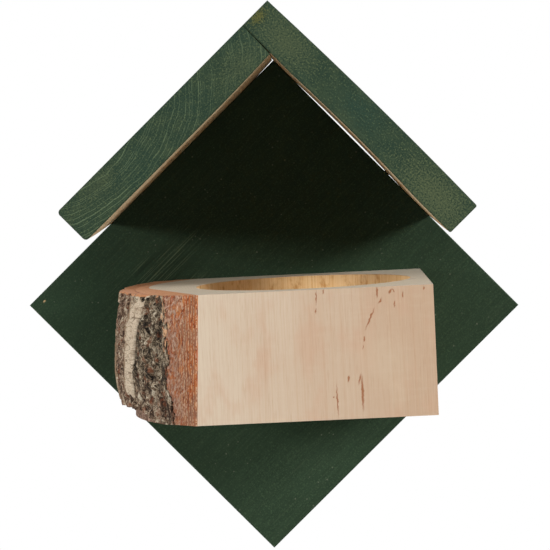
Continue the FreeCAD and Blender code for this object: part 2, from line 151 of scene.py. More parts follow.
def stained_spruce(
    name, turn, shift, pith, ring_width, ring_show, grain, plane_marks, bare_side, patches, shades
):
    """Green wood stain on planed spruce. The stain lets the fibres show on the long grain, soaks in
    unevenly on the end grain, and leaves the rings there paler. Turn and shift bring the board's
    grain to the z axis. ring_show is how clear the rings are on both sides of their change, and
    plane_marks is the middle and the half sizes of the place where the plane has left lines."""
    material, tree = new_material(name)
    board = add(
        tree,
        "Mapping",
        {
            "Vector": add(tree, "TexCoord", out="Object"),
            "Location": shift,
            "Rotation": np.radians(turn),
            "Scale": TO_MILLIMETRES,
        },
    )
    pattern = cloudy_marks(tree, board, STAIN_MARKS)

    # Growth rings about the pith. They wander a few millimetres, good and poor years spread them
    # unevenly over about five rings, and some are bold and others faint.
    radius = pith_distance(tree, board, pattern["drift"], SPRUCE_WANDER, pith)
    inputs = {"W": radius, "Scale": 0.2 / ring_width, "Detail": 1}
    years = add(tree, "TexNoise", inputs, noise_dimensions="1D")
    uneven = add(tree, "Math", {0: years, 1: 4 * ring_width, 2: radius}, operation="MULTIPLY_ADD")
    turns = add(tree, "Math", {0: uneven, 1: ring_width}, operation="DIVIDE")
    rings = ring_lines(tree, turns, RING_STOPS)
    end_rings = add(tree, "Math", {0: rings, 1: pattern["mottle"]}, operation="MULTIPLY")
    bold = add(tree, "TexNoise", {"W": turns, "Scale": 0.6, "Detail": 0}, noise_dimensions="1D")
    bold = add(tree, "MapRange", {0: bold, 1: 0.35, 2: 0.62, 3: 0.35, 4: 1.15})
    end_rings = add(tree, "Math", {0: end_rings, 1: bold}, operation="MULTIPLY")
    front_edge = add(tree, "SeparateXYZ", {0: board})
    inputs = {0: front_edge, 1: RING_CHANGE[0], 2: RING_CHANGE[1], 3: ring_show[0], 4: ring_show[1]}
    ring_share = add(tree, "MapRange", inputs)

    # The plane's lines stand in bands, and they are plain in one place and faint elsewhere.
    reach = reach_from(tree, board, *plane_marks)
    marks = add(tree, "MapRange", {0: reach, 1: 0.5, 2: 1.2, 3: 0.9, 4: 0.1})
    inputs = {0: pattern["band"], 1: 0.36, 2: 0.56}
    band = add(tree, "MapRange", inputs, interpolation_type="SMOOTHSTEP")
    marks = add(tree, "Math", {0: marks, 1: band}, operation="MULTIPLY")

    long_grain = coats(
        tree,
        shades["long dark"],
        [
            (pattern["fibre"], 0.36, 0.68, 0.7, shades["long light"]),
            (pattern["cloud"], 0.4, 0.75, 0.3, shades["long bright"]),
            (pattern["grit"], 0.5, 0.74, 0.72, shades["long grit"]),
            (pattern["line"], 0.58, 0.66, marks, shades["plane mark"]),
            (pattern["line"], 0.5, 0.36, marks, shades["long deep"]),
        ],
    )
    end_grain = coats(
        tree,
        shades["end dark"],
        [
            (pattern["mottle"], 0.34, 0.66, 1, shades["end light"]),
            (pattern["cloud"], 0.5, 0.68, 0.3, shades["end olive"]),
            (pattern["cloud"], 0.46, 0.32, 0.3, shades["end teal"]),
            (end_rings, 0.12, 0.6, ring_share, shades["end ring"]),
        ],
    )
    bare = coats(
        tree,
        shades["bare light"],
        [
            (pattern["fibre"], 0.45, 0.68, 0.7, shades["bare dark"]),
            (pattern["cloud"], 0.45, 0.7, 0.4, shades["bare dark"]),
            (rings, 0, 1, 0.35, shades["bare ring"]),
        ],
    )

    end_facing = add(tree, "Math", {0: facing(tree, grain)}, operation="ABSOLUTE")
    inputs = {0: end_facing, 1: 0.55, 2: 0.8}
    end_share = add(tree, "MapRange", inputs, interpolation_type="SMOOTHSTEP")
    colour = add(tree, "Mix", {0: end_share, 6: long_grain, 7: end_grain}, out=2, data_type="RGBA")
    # Places where the stain took differently, each with its shade, middle, half sizes and cover.
    # They break up into pores at their edges.
    for shade, middle, half_sizes, most in patches:
        reach = reach_from(tree, board, middle, half_sizes)
        reach = add(tree, "Math", {0: pattern["pore"], 1: -2.5, 2: reach}, operation="MULTIPLY_ADD")
        colour = coats(tree, colour, [(reach, -0.6, -1.2, most, shades[shade])])
    dark_pore = add(tree, "Math", {0: pattern["pore"], 1: end_share}, operation="SUBTRACT")
    pale_pore = add(tree, "Math", {0: pattern["pore"], 1: end_share}, operation="MULTIPLY")
    colour = coats(
        tree,
        colour,
        [
            (dark_pore, -0.55, -0.68, 0.65, shades["end dark pore"]),
            (pale_pore, 0.54, 0.7, 0.65, shades["end pale pore"]),
        ],
    )
    colour = coats(tree, colour, [(facing(tree, bare_side), 0.75, 0.9, 1, bare)])

    # Sawdust: specks of about half a millimetre, few and far between on the long grain.
    dust = add(tree, "TexVoronoi", {"Vector": board, "Scale": 1 / DUST_SPACING, "Randomness": 1})
    dust_shade = dust.node.outputs["Color"]
    dust_chosen = add(tree, "Math", {0: dust_shade, 1: end_share}, operation="SUBTRACT")
    dust_chosen = add(tree, "Math", {0: dust_chosen, 1: 0.5}, operation="GREATER_THAN")
    dust_near = add(tree, "MapRange", {0: dust, 1: 0.26, 2: 0.1}, interpolation_type="SMOOTHSTEP")
    dust_share = add(tree, "Math", {0: dust_near, 1: dust_chosen}, operation="MULTIPLY")
    colour = coats(tree, colour, [(dust_share, 0, 1, 0.2, shades["dust"])])

    inputs = {0: end_share, 2: pattern["fibre"], 3: pattern["pore"]}
    surface = add(tree, "Mix", inputs, data_type="FLOAT")
    bump = add(tree, "Bump", {"Height": surface, "Strength": 0.25, "Distance": 0.0004})
    roughness = add(tree, "MapRange", {0: pattern["fibre"], 1: 0.3, 2: 0.7, 3: 0.55, 4: 0.65})
    shader = add(
        tree,
        "BsdfPrincipled",
        {
            "Base Color": colour,
            "Roughness": roughness,
            "Normal": bump,
            "IOR": 1.47,
            "Specular IOR Level": 0.1,
        },
    )
    add(tree, "OutputMaterial", {"Surface": shader})
    return material


SLANT = math.sqrt(0.5)
panel_stain = stained_spruce(
    "green_stained_spruce_panel",
    turn=(0, -45, 0),
    shift=(0, 0, 0),
    pith=(40, 120),
    ring_width=4,
    ring_show=(0.3, 0.3),
    grain=(SLANT, 0, SLANT),
    plane_marks=((-56, -20, -34), (30, 20, 30)),
    bare_side=(0, 1, 0),
    patches=[("bare light", (-95.9, -20, -92.2), (0.8, 4, 1.4), 0.8)],
    shades={
        "long dark": "#253425",
        "long light": "#2c3d2c",
        "long bright": "#2f4532",
        "long grit": "#3d5039",
        "plane mark": "#4e5943",
        "long deep": "#1f2c1e",
        "end dark": "#2b3a29",
        "end light": "#3d4f39",
        "end olive": "#4b5538",
        "end teal": "#32473d",
        "end ring": "#5b6745",
        "end dark pore": "#232f22",
        "end pale pore": "#55623f",
        "bare dark": "#a98458",
        "bare light": "#cfae80",
        "bare ring": "#a67c4d",
        "dust": "#a2a48e",
    },
)
nodes["back_panel"].material_slots[0].material = panel_stain

# Roof boards. Two spruce boards stained like the panel, screwed to its upper edges and butted at
# the ridge. They are cut across the grain at the front, so their rings show there, and their
# undersides are bare.
ROOF_FRONT = -170
roof_shades = {
    "long dark": "#253323",
    "long light": "#33442f",
    "long bright": "#34492f",
    "long grit": "#465840",
    "plane mark": "#4e6047",
    "long deep": "#1f2c1e",
    "end dark": "#27382b",
    "end light": "#31402f",
    "end olive": "#48523a",
    "end teal": "#243a30",
    "end ochre": "#5e5c2c",
    "end ring": "#5f6f53",
    "end dark pore": "#1f2b20",
    "end pale pore": "#5c6746",
    "bare dark": "#a88b66",
    "bare light": "#d0bd9c",
    "bare ring": "#9a7346",
    "dust": "#9a9a80",
}
left_roof_stain = stained_spruce(
    "green_stained_spruce_left_roof",
    turn=(90, 0, 45),
    shift=(-100, 100, 0),
    pith=(-102, -82),
    ring_width=1.45,
    ring_show=(0.7, 0.95),
    grain=(0, 1, 0),
    plane_marks=((-80, -20, -60), (70, 30, 70)),
    bare_side=(SLANT, 0, -SLANT),
    patches=[
        ("end olive", (-14, -7, ROOF_FRONT), (30, 18, 60), 0.5),
        ("end olive", (-113, -17, ROOF_FRONT), (28, 14, 60), 0.4),
    ],
    shades=roof_shades,
)
right_roof_stain = stained_spruce(
    "green_stained_spruce_right_roof",
    turn=(90, 0, -45),
    shift=(100, 100, 0),
    pith=(40, -260),
    ring_width=5.5,
    ring_show=(0.1, 0.1),
    grain=(0, 1, 0),
    plane_marks=((60, -20, -110), (70, 30, 70)),
    bare_side=(-SLANT, 0, -SLANT),
    patches=[
        ("end olive", (0, -10, ROOF_FRONT), (40, 24, 60), 0.75),
        ("end teal", (54, -12, ROOF_FRONT), (34, 18, 60), 0.8),
        ("end olive", (112, -8, ROOF_FRONT), (48, 26, 60), 0.95),
        ("end ochre", (-19, -9, ROOF_FRONT), (7, 10, 60), 0.7),
    ],
    shades=roof_shades,
)
nodes["left_roof_board"].material_slots[0].material = left_roof_stain
nodes["right_roof_board"].material_slots[0].material = right_roof_stain

# Trough block. A slice of birch log, sawn square on three sides, with a round seed recess bored
# into its end grain. It hangs a little out of level, and two screws hold it from behind the panel.
TILT = math.radians(2.6)
TROUGH_TOP = 17.3
TROUGH_FOOT = -51.7
RECESS_FLOOR = TROUGH_TOP - 40
LOG_AXIS = (51.5, -91.2)
RECESS_AXIS = (17.4, -97.5)
RECESS_RADIUS = 59.2
BIRCH_WANDER = 6
BIRCH_RING_WIDTH = 1.7
BIRCH_RING_STOPS = [(0, "#202020"), (0.6, "#000000"), (0.88, "#ffffff"), (1, "#202020")]
# Marks in birch: two sizes across the grain and the one along it. Fibres and ticks are finer in the
# wood, and are drawn as coarse as they need to show.
BIRCH_MARKS = {
    "drift": (30, 30, 400, 2, 0.5),
    "fibre": (0.7, 0.7, 260, 3, 0.6),
    "tick": (0.6, 0.6, 11, 2, 0.6),
    "cloud": (28, 28, 90, 2, 0.5),
    "blush": (14, 14, 26, 3, 0.6),
    "curl": (13, 13, 2.6, 2, 0.5),
    "ragged": (1.8, 1.8, 1.8, 3, 0.5),
    "scorch": (4, 4, 9, 4, 0.65),
}
# Sawn birch: a pale, close wood with hardly any figure. It is dull from the saw, its colour drifts
# softly from cream to pink, and only its fibres, ticks and rusty flecks stand out.
birch, tree = new_material("sawn_birch")
log_place = add(
    tree,
    "Mapping",
    {
        "Vector": add(tree, "TexCoord", out="Object"),
        "Rotation": (0, TILT, 0),
        "Scale": TO_MILLIMETRES,
    },
)
pattern = cloudy_marks(tree, log_place, BIRCH_MARKS)
radius = pith_distance(tree, log_place, pattern["drift"], BIRCH_WANDER, LOG_AXIS)
turns = add(tree, "Math", {0: radius, 1: BIRCH_RING_WIDTH}, operation="DIVIDE")
rings = ring_lines(tree, turns, BIRCH_RING_STOPS)
log_x, log_y, log_z = add(tree, "SeparateXYZ", {0: log_place}).node.outputs

# Long grain: cream sapwood at the bark that turns pinker towards the heart, with faint straight
# fibres.
heart = add(tree, "Math", {0: pattern["cloud"], 1: 60, 2: log_x}, operation="MULTIPLY_ADD")
wood = coats(
    tree,
    "#cdbba5",
    [
        (heart, -30, 115, 1, "#ba9e84"),
        (pattern["blush"], 0.46, 0.72, 0.5, "#c09c82"),
        (pattern["curl"], 0.48, 0.72, 0.06, "#d6c6b0"),
        (pattern["fibre"], 0.48, 0.72, 0.26, "#b8967a"),
        (pattern["fibre"], 0.48, 0.3, 0.1, "#d8c8b0"),
        (pattern["tick"], 0.5, 0.74, 0.25, "#ac8869"),
        (rings, 0.3, 1, 0.15, "#b48b69"),
    ],
)
# Painted sheen: where the grain runs flat, the light glancing off it is painted in as paler
# patches, given by their middles, levels and half sizes.
PAINTED_SHEEN_PATCHES = [(60, -22, 14, 17), (64, -40, 5, 8)]
for middle, level, half_width, half_height in PAINTED_SHEEN_PATCHES:
    half_sizes = (half_width, THROUGH, half_height)
    reach = reach_from(tree, log_place, (middle, 0, level), half_sizes)
    reach = add(tree, "Math", {0: pattern["blush"], 1: -1.5, 2: reach}, operation="MULTIPLY_ADD")
    wood = coats(tree, wood, [(reach, 0.5, -0.5, 0.22, "#cbb99f")])

# Pith flecks: short rusty streaks along the grain near the front, each with its middle, level, half
# length, half width and lean in degrees.
FLECKS = [
    (32.4, -42, 9.5, 0.4, -1),
    (30.5, -39.8, 0.6, 0.5, 0),
    (45.8, -38, 10, 0.8, 0),
    (44.6, -31, 3.2, 0.5, 12),
    (38.8, -30.4, 1.7, 0.6, 6),
    (51.4, 0.8, 6.5, 0.6, 25),
    (47.9, -9.8, 1.6, 0.4, 12),
    (47.2, -14, 1.2, 0.3, 10),
    (57, 9.8, 1.8, 0.6, 30),
    (55.7, 14.5, 3.2, 0.6, 2),
    (62.6, 14.6, 1.6, 0.7, 28),
    (64.2, 15, 1.6, 0.4, -30),
    (64.7, 8, 2, 0.4, 8),
    (69.2, 12.8, 2, 0.4, 0),
    (23.7, 13, 4.5, 0.4, 2),
    (23.2, 6, 1.5, 0.5, 10),
    (27.5, 16, 1.4, 0.5, 0),
    (80.3, 15.5, 1.4, 0.5, 0),
]
# How far across and along the grain their outlines stray, and a reach that is far from any fleck.
FLECK_RAG = (1.4, 0, 2.5)
NO_FLECK = 9
inputs = {0: pattern["ragged"].node.outputs["Color"], 1: FLECK_RAG, 2: log_place}
fleck_place = add(tree, "VectorMath", inputs, operation="MULTIPLY_ADD")
fleck_reach = NO_FLECK
for middle, level, half_length, half_width, lean in FLECKS:
    reach = reach_from(
        tree,
        fleck_place,
        (middle + FLECK_RAG[0] / 2, 0, level + FLECK_RAG[2] / 2),
        (half_width, THROUGH, half_length),
        turn=(0, math.radians(lean), 0),
    )
    fleck_reach = add(tree, "Math", {0: fleck_reach, 1: reach}, operation="MINIMUM")
behind_front = add(tree, "MapRange", {0: log_y, 1: -166, 2: -155, 4: 2})
fleck_reach = add(tree, "Math", {0: fleck_reach, 1: behind_front}, operation="ADD")
wood = coats(tree, wood, [(fleck_reach, 1.2, 0.4, 0.9, "#8f5732")])

# End grain: greyer, with the rings as darker arcs, saw marks that run across and a short drying
# crack at the recess.
LOG_WAY = (-math.sin(TILT), 0, math.cos(TILT))
CRACK_MIDDLE = (76.8, -114.2, 0)
CRACK_SIZE = (2.9, 1.1, THROUGH)
CRACK_TURN = (0, 0, 0.14)
SAW_TURN = (0, 0, 0.5)
SAW_MARKS_PER_MM = (0.02, 0.6, 0.05)
upright = add(tree, "Math", {0: facing(tree, LOG_WAY)}, operation="ABSOLUTE")
inputs = {"Vector": log_place, "Rotation": SAW_TURN, "Scale": SAW_MARKS_PER_MM}
saw_place = add(tree, "Mapping", inputs)
saw = add(tree, "TexNoise", {"Vector": saw_place, "Scale": 1, "Detail": 3})
crack = reach_from(tree, log_place, CRACK_MIDDLE, CRACK_SIZE, CRACK_TURN)
end_grain = coats(
    tree,
    "#d7cdba",
    [
        (saw, 0.3, 0.75, 0.6, "#ebe2d1"),
        (rings, 0.2, 1, 0.3, "#b09a7d"),
        (pattern["tick"], 0.55, 0.75, 0.3, "#b8a68c"),
        (crack, 1.1, 0.5, 0.8, "#4a3320"),
    ],
)
wood = coats(tree, wood, [(upright, 0.6, 0.8, 1, end_grain)])

# Bored recess: the bit left it yellower, with scorched spots and circles on its floor.
from_axis = reach_from(tree, log_place, (*RECESS_AXIS, 0), (1, 1, THROUGH))
inside = add(tree, "MapRange", {0: from_axis, 1: RECESS_RADIUS + 0.4, 2: RECESS_RADIUS})
below_top = add(tree, "MapRange", {0: log_z, 1: TROUGH_TOP - 0.05, 2: TROUGH_TOP - 0.4})
above_floor = add(tree, "MapRange", {0: log_z, 1: RECESS_FLOOR - 1, 2: RECESS_FLOOR - 0.5})
recess_share = add(tree, "Math", {0: inside, 1: below_top}, operation="MULTIPLY")
recess_share = add(tree, "Math", {0: recess_share, 1: above_floor}, operation="MULTIPLY")
bored = coats(
    tree,
    "#e6c593",
    [
        (pattern["fibre"], 0.42, 0.7, 0.7, "#cf9d5c"),
        (pattern["scorch"], 0.5, 0.72, 0.75, "#b57c36"),
    ],
)
wood = coats(tree, wood, [(recess_share, 0, 1, 1, bored)])

# The bit's circles stand about 3 mm apart.
BIT_RADIANS_PER_MM = 2.2
bit_wave = add(tree, "Math", {0: from_axis, 1: BIT_RADIANS_PER_MM}, operation="MULTIPLY")
bit_marks = add(tree, "Math", {0: bit_wave}, operation="SINE")
end_share = add(tree, "MapRange", {0: upright, 1: 0.6, 2: 0.8}, interpolation_type="SMOOTHSTEP")
bit_share = add(tree, "Math", {0: recess_share, 1: end_share}, operation="MULTIPLY")
surface = add(tree, "Mix", {0: end_share, 2: pattern["fibre"], 3: saw}, data_type="FLOAT")
surface = add(tree, "Mix", {0: bit_share, 2: surface, 3: bit_marks}, data_type="FLOAT")
bump = add(tree, "Bump", {"Height": surface, "Strength": 0.4, "Distance": 0.0004})
shader = add(
    tree,
    "BsdfPrincipled",
    {
        "Base Color": wood,
        "Roughness": 0.62,
        "Normal": bump,
        "IOR": 1.5,
        "Specular IOR Level": 0.25,
    },
)
add(tree, "OutputMaterial", {"Surface": shader})
nodes["trough_block"].material_slots[0].material = birch

# Inner bark. The living layer under the cork, a fibrous orange-brown felt. It is bonded to the
# log's round side, and the cork has been pared off it in a slanting facet at the front edge.
# Depths are y in millimetres, and distances are to the left of the panel's middle at the log's top.
WOOD_FRONT = -169
PANEL_FRONT = -20
LOG_LEAN = 3.6
FACET_RUN = 17
FACET_FALL_TOP = 8
FACET_FALL_FOOT = 17
BARK_CORNER = 39.7
BARK_NOSE = 75
BARK_NOSE_DEPTH = -84
BARK_BACK = 55.5
WOOD_CORNER = 38.2
WOOD_TIP = 67
WOOD_TIP_DEPTH = -94
WOOD_BELLY = 62.5
WOOD_BELLY_DEPTH = -48
WOOD_BACK = 43.5


def circle(first, second, third):
    """Centre and radius of the circles through three points, each a pair of arrays."""
    (ax, ay), (bx, by), (cx, cy) = first, second, third
    twice = 2 * (ax * (by - cy) + bx * (cy - ay) + cx * (ay - by))
    squares = [x * x + y * y for x, y in (first, second, third)]
    across = (squares[0] * (by - cy) + squares[1] * (cy - ay) + squares[2] * (ay - by)) / twice
    along = (squares[0] * (cx - bx) + squares[1] * (ax - cx) + squares[2] * (bx - ax)) / twice
    return across, along, np.hypot(ax - across, ay - along)


def log_spread(height):
    """How far the log's side leans out at a height, and how far back the facet reaches there."""
    share = (height - TROUGH_FOOT) / (TROUGH_TOP - TROUGH_FOOT)
    return LOG_LEAN * (1 - share), FACET_FALL_FOOT + (FACET_FALL_TOP - FACET_FALL_FOOT) * share


def smooth(low, high, value):
    """A smooth step from 0 at the first value to 1 at the second."""
    share = np.clip((value - low) / (high - low), 0, 1)
    return share * share * (3 - 2 * share)


def bark_side(run, height):
    """The inner bark's outer side at a share of the way round: points, outward normals, and
    distances along it from the front corner and from the facet's end."""
    lean, fall = log_spread(height)
    level = np.zeros_like(height)
    corner = -(BARK_CORNER + lean)
    bend = (corner - FACET_RUN, WOOD_FRONT + fall)
    nose = (-(BARK_NOSE + lean), level + BARK_NOSE_DEPTH)
    back = (-(BARK_BACK + lean), level + PANEL_FRONT)
    centre_x, centre_y, radius = circle(bend, nose, back)
    facet = np.hypot(FACET_RUN, fall)
    start = np.arctan2(bend[1] - centre_y, bend[0] - centre_x) % (2 * math.pi)
    end = np.arctan2(back[1] - centre_y, back[0] - centre_x) % (2 * math.pi)
    whole = facet + (start - end) * radius
    run = run * whole
    angle = start - np.maximum(run - facet, 0) / radius
    on_facet = np.clip(run / facet, 0, 1)
    x = np.where(run < facet, corner - FACET_RUN * on_facet, centre_x + radius * np.cos(angle))
    y = np.where(run < facet, WOOD_FRONT + fall * on_facet, centre_y + radius * np.sin(angle))
    # The normals turn over the facet's end, and near the panel they point straight to the left.
    turn = smooth(-3, 6, run - facet)
    normal_x = -fall / facet * (1 - turn) + np.cos(angle) * turn
    normal_y = -FACET_RUN / facet * (1 - turn) + np.sin(angle) * turn
    straight = smooth(0.72, 1, run / whole)
    normal_x = normal_x * (1 - straight) - straight
    normal_y = normal_y * (1 - straight)
    length = np.hypot(normal_x, normal_y)
    return x, y, normal_x / length, normal_y / length, run, run - facet


def wood_side(run, height):
    """The log's own side under the bark, at a share of the way round: flat from the front to its
    tip for the first half, then round to the panel."""
    lean, _ = log_spread(height)
    level = np.zeros_like(height)
    front = (-(WOOD_CORNER + lean), level + WOOD_FRONT)
    tip = (-(WOOD_TIP + lean), level + WOOD_TIP_DEPTH)
    belly = (-(WOOD_BELLY + lean), level + WOOD_BELLY_DEPTH)
    back = (-(WOOD_BACK + lean), level + PANEL_FRONT)
    centre_x, centre_y, radius = circle(tip, belly, back)
    start = np.arctan2(tip[1] - centre_y, tip[0] - centre_x) % (2 * math.pi)
    end = np.arctan2(back[1] - centre_y, back[0] - centre_x) % (2 * math.pi)
    flat = np.clip(run / 0.5, 0, 1)
    angle = start + (end - start) * np.clip(run / 0.5 - 1, 0, 1)
    flat_x = front[0] + (tip[0] - front[0]) * flat
    flat_y = front[1] + (tip[1] - front[1]) * flat
    x = np.where(run < 0.5, flat_x, centre_x + radius * np.cos(angle))
    y = np.where(run < 0.5, flat_y, centre_y + radius * np.sin(angle))
    return x, y


def bark_sheet(name, columns, rows):
    """A flat sheet with a thickness, from 0 to 1 each way, that is then wrapped round the log."""
    bpy.ops.object.select_all(action="DESELECT")
    bpy.ops.mesh.primitive_grid_add(
        x_subdivisions=columns, y_subdivisions=rows, size=1, location=(0.5, 0.5, 1)
    )
    bpy.ops.object.transform_apply(location=True)
    sheet = bpy.context.object
    sheet.name = name
    bpy.ops.object.mode_set(mode="EDIT")
    bpy.ops.mesh.select_all(action="SELECT")
    bpy.ops.mesh.extrude_region_move(TRANSFORM_OT_translate={"value": (0, 0, -1)})
    bpy.ops.object.mode_set(mode="OBJECT")
    return sheet


def sheet_places(sheet):
    """Each point's share of the way round, its share of the way up, and 1 outside or 0 inside."""
    places = np.empty(len(sheet.data.vertices) * 3)
    sheet.data.vertices.foreach_get("co", places)
    return places.reshape(-1, 3).T


def wrap(sheet, x, y, height, marks):
    """Moves the sheet's points to their places on the tilted trough, and keeps their marks for the
    material."""
    world_x = x * math.cos(TILT) - height * math.sin(TILT)
    world_z = x * math.sin(TILT) + height * math.cos(TILT)
    world = np.stack([world_x, y, world_z], axis=1)
    sheet.data.vertices.foreach_set("co", (world / 1000).ravel())
    for name, values in marks.items():
        attribute = sheet.data.attributes.new(name, "FLOAT", "POINT")
        attribute.data.foreach_set("value", np.asarray(values, np.float32))
    bpy.ops.object.mode_set(mode="EDIT")
    bpy.ops.mesh.select_all(action="SELECT")
    bpy.ops.mesh.normals_make_consistent(inside=False)
    bpy.ops.object.mode_set(mode="OBJECT")
    bpy.ops.object.shade_smooth_by_angle(angle=math.radians(50))
    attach(sheet, "root")


def clouds(across, along, seed, octaves=4):
    """Fractal noise over the sheet, from about -1 to 1."""
    shift = Vector((seed * 17.3, seed * 5.1, seed * 11.7))
    places = np.stack([across, along, 0 * across], axis=1)
    return np.array([noise.fractal(Vector(place) + shift, 1.0, 2.0, octaves) for place in places])


# The columns of the sheet stand closer together towards the front.
inner_bark = bark_sheet("inner_bark_felt", columns=170, rows=110)
run_share, rise, side = sheet_places(inner_bark)
run_share = run_share**2
height = TROUGH_FOOT + (TROUGH_TOP - TROUGH_FOOT) * rise
x, y, normal_x, normal_y, run, past_facet = bark_side(run_share, height)
ridges = clouds(run / 1.5, height / 9, 1)
lumps = clouds(run / 7, height / 12, 2)
felt = np.clip(0.4 * ridges + 0.5 * lumps - 0.35, -1.2, 0.3)
felt = felt * smooth(0, 3, run) * smooth(8, 3, past_facet)
wood_x, wood_y = wood_side(run_share, height)
corner_step = BARK_CORNER - WOOD_CORNER
outer = side > 0.5
wrap(
    inner_bark,
    np.where(outer, x + normal_x * felt, wood_x),
    np.where(outer, np.minimum(y + normal_y * felt, PANEL_FRONT), wood_y),
    height,
    {"bark_run": np.where(outer, run, run - corner_step), "bark_rise": height},
)
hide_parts("inner_bark")


def bark_places(tree):
    """The way round the bark, the height on it, and both as a place, in millimetres."""
    run = add(tree, "Attribute", out="Fac", attribute_name="bark_run")
    rise = add(tree, "Attribute", out="Fac", attribute_name="bark_rise")
    return run, rise, add(tree, "CombineXYZ", {0: run, 1: rise})


def from_middle(tree, pattern):
    """How far a pattern is from its middle value. Where that is small, it gives thin lines."""
    aside = add(tree, "Math", {0: pattern, 1: 0.5}, operation="SUBTRACT")
    return add(tree, "Math", {0: aside}, operation="ABSOLUTE")


# Pared inner bark: dry bast that shows as orange-brown felt under pale torn threads. The first two
# sizes of its marks are round the log and up it.
felt_bark, tree = new_material("pared_inner_bark")
run_socket, rise_socket, bark_place = bark_places(tree)
FELT_MARKS = {
    "grain": (1.1, 6, 1, 4, 0.65),
    "dot": (1.2, 1.3, 1, 2, 0.5),
    "patch": (5, 11, 1, 3, 0.55),
    "torn": (1.5, 2.5, 1, 3, 0.6),
}
pattern = cloudy_marks(tree, bark_place, FELT_MARKS)
colour = coats(
    tree,
    "#b2673b",
    [
        (pattern["grain"], 0.5, 0.4, 0.95, "#662a14"),
        (pattern["grain"], 0.5, 0.64, 0.8, "#cb8a55"),
        (pattern["patch"], 0.46, 0.6, 0.75, "#9a6a50"),
        (pattern["patch"], 0.46, 0.34, 0.75, "#ad5226"),
        (rise_socket, -31, -46, 0.45, "#86614d"),
        (run_socket, 11, 19, 0.2, "#8c6a62"),
        (pattern["torn"], 0.42, 0.28, 0.6, "#74402c"),
    ],
)
# It is darkest at the foot, behind the facet.
past = add(tree, "MapRange", {0: run_socket, 1: 15, 2: 23})
low = add(tree, "MapRange", {0: rise_socket, 1: -38, 2: -44})
foot = add(tree, "Math", {0: past, 1: low}, operation="MULTIPLY")
colour = coats(tree, colour, [(foot, 0, 1, 0.9, "#5a4335")])
# Threads stand in upright rows near the wood, and further from it they lie in loose leaning nets.
ROW_SPACING = 1.7
row_here = add(tree, "MapRange", {0: run_socket, 1: 15, 2: 7})
row_turn = add(tree, "Math", {0: run_socket, 1: 2 * math.pi / ROW_SPACING}, operation="MULTIPLY")
row_turn = add(tree, "Math", {0: pattern["patch"], 1: 9, 2: row_turn}, operation="MULTIPLY_ADD")
row_wave = add(tree, "Math", {0: row_turn}, operation="SINE")
inputs = {0: row_wave, 1: -0.1, 2: 0.8}
row_share = add(tree, "MapRange", inputs, interpolation_type="SMOOTHSTEP")
inputs = {0: pattern["dot"], 1: 0.4, 2: 0.56}
dot_share = add(tree, "MapRange", inputs, interpolation_type="SMOOTHSTEP")
row_share = add(tree, "Math", {0: row_share, 1: dot_share}, operation="MULTIPLY")
row_share = add(tree, "Math", {0: row_share, 1: row_here}, operation="MULTIPLY")
colour = coats(tree, colour, [(row_share, 0, 1, 0.72, "#dfba99")])
thread_height = add(tree, "Math", {0: row_share, 1: pattern["grain"]}, operation="ADD")
inputs = {0: pattern["torn"].node.outputs["Color"], 1: (0.5, 0.5, 0), 2: bark_place}
thread_place = add(tree, "VectorMath", inputs, operation="MULTIPLY_ADD")
# Each net has its lean, the spacing and length of its threads, where it starts and is full, and its
# shade.
NETS = [
    (-0.3, 2.4, 9, 3, 8, "#d4b096"),
    (-0.65, 2, 7, 8, 13, "#c9a793"),
]
for lean, around, upward, start, full, shade in NETS:
    place = add(tree, "Mapping", {"Vector": thread_place, "Rotation": (0, 0, lean)})
    place = add(tree, "Mapping", {"Vector": place, "Scale": (1 / around, 1 / upward, 1)})
    thread = add(tree, "TexNoise", {"Vector": place, "Scale": 1, "Detail": 2, "Roughness": 0.6})
    inputs = {0: from_middle(tree, thread), 1: 0.06, 2: 0.02}
    near = add(tree, "MapRange", inputs, interpolation_type="SMOOTHSTEP")
    whole = add(tree, "MapRange", {0: pattern["torn"], 1: 0.36, 2: 0.58})
    here = add(tree, "MapRange", {0: run_socket, 1: start, 2: full})
    share = add(tree, "Math", {0: whole, 1: near}, operation="MULTIPLY")
    share = add(tree, "Math", {0: share, 1: here}, operation="MULTIPLY")
    colour = coats(tree, colour, [(share, 0, 1, 0.75, shade)])
    thread_height = add(tree, "Math", {0: share, 1: thread_height}, operation="ADD")
# The sawn ends are smooth and paler.
SAWN_GRAIN = 1.6
upright = add(tree, "Math", {0: facing(tree, LOG_WAY)}, operation="ABSOLUTE")
inputs = {0: upright, 1: 0.85, 2: 0.97}
sawn_share = add(tree, "MapRange", inputs, interpolation_type="SMOOTHSTEP")
sawn_place = add(tree, "TexCoord", out="Object")
sawn_grain = add(tree, "TexNoise", {"Vector": sawn_place, "Scale": 1000 / SAWN_GRAIN, "Detail": 3})
sawn = coats(tree, "#d39d77", [(sawn_grain, 0.45, 0.7, 0.6, "#b97b54")])
colour = coats(tree, colour, [(sawn_share, 0, 1, 1, sawn)])
surface = add(tree, "Mix", {0: sawn_share, 2: thread_height, 3: sawn_grain}, data_type="FLOAT")
bump = add(tree, "Bump", {"Height": surface, "Strength": 0.7, "Distance": 0.0008})
shader = add(
    tree,
    "BsdfPrincipled",
    {"Base Color": colour, "Roughness": 0.8, "Normal": bump, "Specular IOR Level": 0.2},
)
add(tree, "OutputMaterial", {"Surface": shader})
inner_bark.data.materials.append(felt_bark)

# Outer bark. Old birch cork, cracked into rough upright plates, with one strip where the white
# paper bark is whole. It grows on the inner bark, ends in a torn edge at the facet, and has
# crumbled off along the foot.
BARK_START = 0.06
outer_bark = bark_sheet("outer_bark_cork", columns=300, rows=130)
run_share, rise, side = sheet_places(outer_bark)
run_share = BARK_START + (1 - BARK_START) * run_share**1.3
level = TROUGH_FOOT + (TROUGH_TOP - TROUGH_FOOT) * rise
*_, run, past_facet = bark_side(run_share, level)
